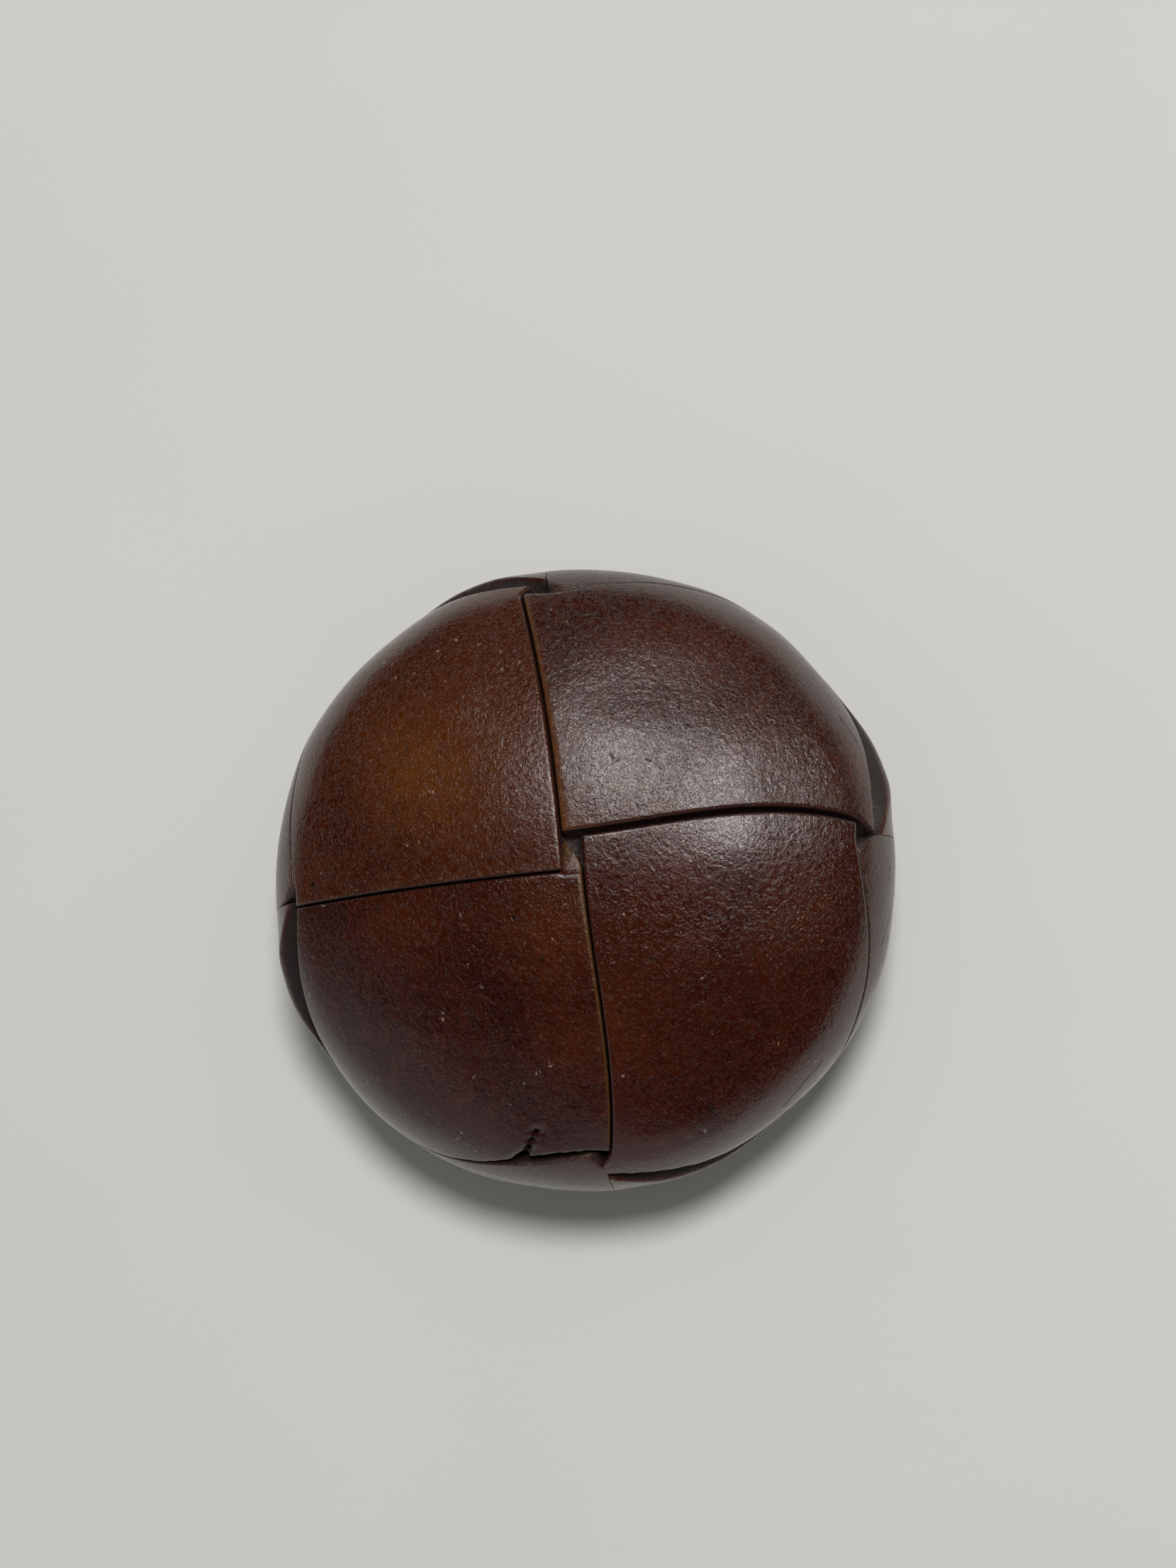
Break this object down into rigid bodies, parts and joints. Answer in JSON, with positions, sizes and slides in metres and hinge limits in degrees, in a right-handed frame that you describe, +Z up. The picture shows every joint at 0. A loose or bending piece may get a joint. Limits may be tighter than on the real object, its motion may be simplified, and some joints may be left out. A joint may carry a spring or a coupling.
{
  "type": "woven leather shank button",
  "caption": "Domed round button of leather strips woven over and under each other round a former, with a leather strap shank across its flat back.",
  "frame": {"origin": "on the axis of the dome, in the flat of the shank strap that the button stands on", "axes": "+Z up through the crown of the dome; the left and right strips run along Y, the rear and front strips along X, and the shank strap runs along X"},
  "size_m": [0.025, 0.025, 0.0123],
  "materials": {
    "strip_leather": "glazed and burnished mahogany brown leather, worn warmer on the crown, raw cut edges",
    "rim_leather": "the same leather, darker and less burnished round the side",
    "strap_leather": "dull brown leather",
    "disc_leather": "raw leatherboard",
    "former": "plain turned wood"
  },
  "bodies": {
    "root": {"core_dome": "former", "backing_disc": "disc_leather", "shank_strap": "strap_leather", "strip_left": "strip_leather", "strip_right": "strip_leather", "strip_rear": "strip_leather", "strip_front": "strip_leather", "rim_strip": "rim_leather"}
  },
  "joints": []
}
